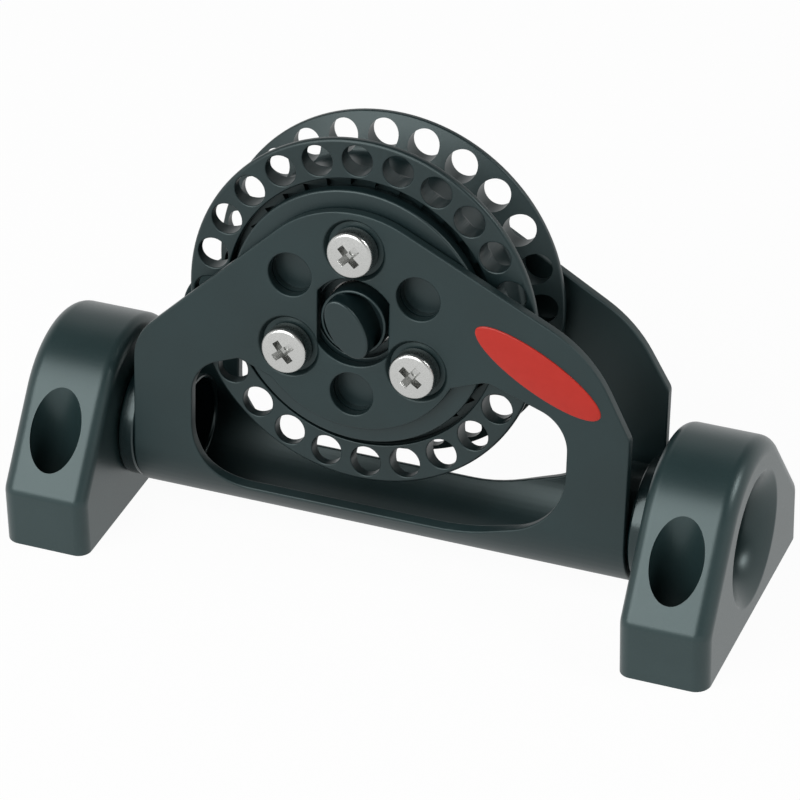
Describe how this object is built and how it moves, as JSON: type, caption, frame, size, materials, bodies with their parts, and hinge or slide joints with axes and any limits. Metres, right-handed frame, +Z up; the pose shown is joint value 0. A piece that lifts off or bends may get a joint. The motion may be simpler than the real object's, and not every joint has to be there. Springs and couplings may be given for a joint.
{
  "type": "ratchet block",
  "caption": "Swinging rope block with a perforated ratchet sheave in a U-bent cradle that pivots on hollow trunnions between its deck feet.",
  "frame": {"origin": "centre of the base, on the deck plane under the middle of the swing axis", "axes": "+X along the swing axis, from the left foot to the right one; -Y towards the cheek with the switch; +Z up from the deck"},
  "size_m": [0.1224, 0.0478, 0.0743],
  "materials": {
    "black_moulded_nylon": "fine moulded satin, glass-filled",
    "black_anodised_aluminium": "hard black anodised, satin",
    "stainless_steel": "bright stainless steel",
    "white_acetal": "smooth"
  },
  "bodies": {
    "feet": {"foot_left": "black_moulded_nylon", "foot_right": "black_moulded_nylon"},
    "cradle": {"cradle": "black_anodised_aluminium", "trunnion_left": "black_moulded_nylon", "trunnion_right": "black_moulded_nylon", "cover_front": "black_moulded_nylon", "cover_back": "black_moulded_nylon", "hub_front": "black_moulded_nylon", "hub_back": "black_moulded_nylon", "front_screw_1": "stainless_steel", "front_screw_2": "stainless_steel", "front_screw_3": "stainless_steel", "back_screw_1": "stainless_steel", "back_screw_2": "stainless_steel", "back_screw_3": "stainless_steel", "pawl_pin_1": "stainless_steel", "pawl_pin_2": "stainless_steel", "pawl_pin_3": "stainless_steel", "pawl_spring_1": "stainless_steel", "pawl_spring_2": "stainless_steel", "pawl_spring_3": "stainless_steel"},
    "sheave": {"sheave": "black_anodised_aluminium"},
    "ball_row": {"bearing_ball_01": "white_acetal", "bearing_ball_02": "white_acetal", "bearing_ball_03": "white_acetal", "bearing_ball_04": "white_acetal", "bearing_ball_05": "white_acetal", "bearing_ball_06": "white_acetal", "bearing_ball_07": "white_acetal", "bearing_ball_08": "white_acetal", "bearing_ball_09": "white_acetal", "bearing_ball_10": "white_acetal", "bearing_ball_11": "white_acetal", "bearing_ball_12": "white_acetal", "bearing_ball_13": "white_acetal", "bearing_ball_14": "white_acetal", "bearing_ball_15": "white_acetal", "bearing_ball_16": "white_acetal", "bearing_ball_17": "white_acetal", "bearing_ball_18": "white_acetal", "bearing_ball_19": "white_acetal", "bearing_ball_20": "white_acetal", "bearing_ball_21": "white_acetal", "bearing_ball_22": "white_acetal", "bearing_ball_23": "white_acetal", "bearing_ball_24": "white_acetal"},
    "switch": {"switch_knob": "black_moulded_nylon", "switch_cam": "stainless_steel", "switch_clip": "stainless_steel"},
    "pawl_1_body": {"pawl_1": "stainless_steel"},
    "pawl_2_body": {"pawl_2": "stainless_steel"},
    "pawl_3_body": {"pawl_3": "stainless_steel"}
  },
  "joints": [
    {"name": "cradle_swing", "type": "hinge", "parent": "feet", "child": "cradle", "pos_m": [0, 0, 0.01415], "axis": [1, 0, 0], "range_deg": [-81.6, 94.4]},
    {"name": "sheave_spin", "type": "hinge", "parent": "cradle", "child": "sheave", "pos_m": [-0.0044, 0.00332, 0.04376], "axis": [0, -0.9938, 0.1115], "continuous": true},
    {"name": "ball_orbit", "type": "hinge", "parent": "cradle", "child": "ball_row", "pos_m": [-0.0044, 0.00332, 0.04376], "axis": [0, -0.9938, 0.1115], "continuous": true},
    {"name": "switch_turn", "type": "hinge", "parent": "cradle", "child": "switch", "pos_m": [-0.0044, 0.00332, 0.04376], "axis": [0, -0.9938, 0.1115], "range_deg": [-60, 0]},
    {"name": "pawl_1_swing", "type": "hinge", "parent": "cradle", "child": "pawl_1_body", "pos_m": [0.00961, -0.00123, 0.04805], "axis": [0, -0.9938, 0.1115], "range_deg": [-12, 0]},
    {"name": "pawl_2_swing", "type": "hinge", "parent": "cradle", "child": "pawl_2_body", "pos_m": [-0.01465, -0.0005, 0.05451], "axis": [0, -0.9938, 0.1115], "range_deg": [-12, 0]},
    {"name": "pawl_3_swing", "type": "hinge", "parent": "cradle", "child": "pawl_3_body", "pos_m": [-0.00815, -0.00321, 0.0304], "axis": [0, -0.9938, 0.1115], "range_deg": [-12, 0]}
  ],
  "couplings": [
    {"joint": "ball_orbit", "follows": "sheave_spin", "ratio": 0.5633},
    {"joint": "pawl_1_swing", "follows": "switch_turn", "ratio": 0.2},
    {"joint": "pawl_2_swing", "follows": "switch_turn", "ratio": 0.2},
    {"joint": "pawl_3_swing", "follows": "switch_turn", "ratio": 0.2}
  ]
}
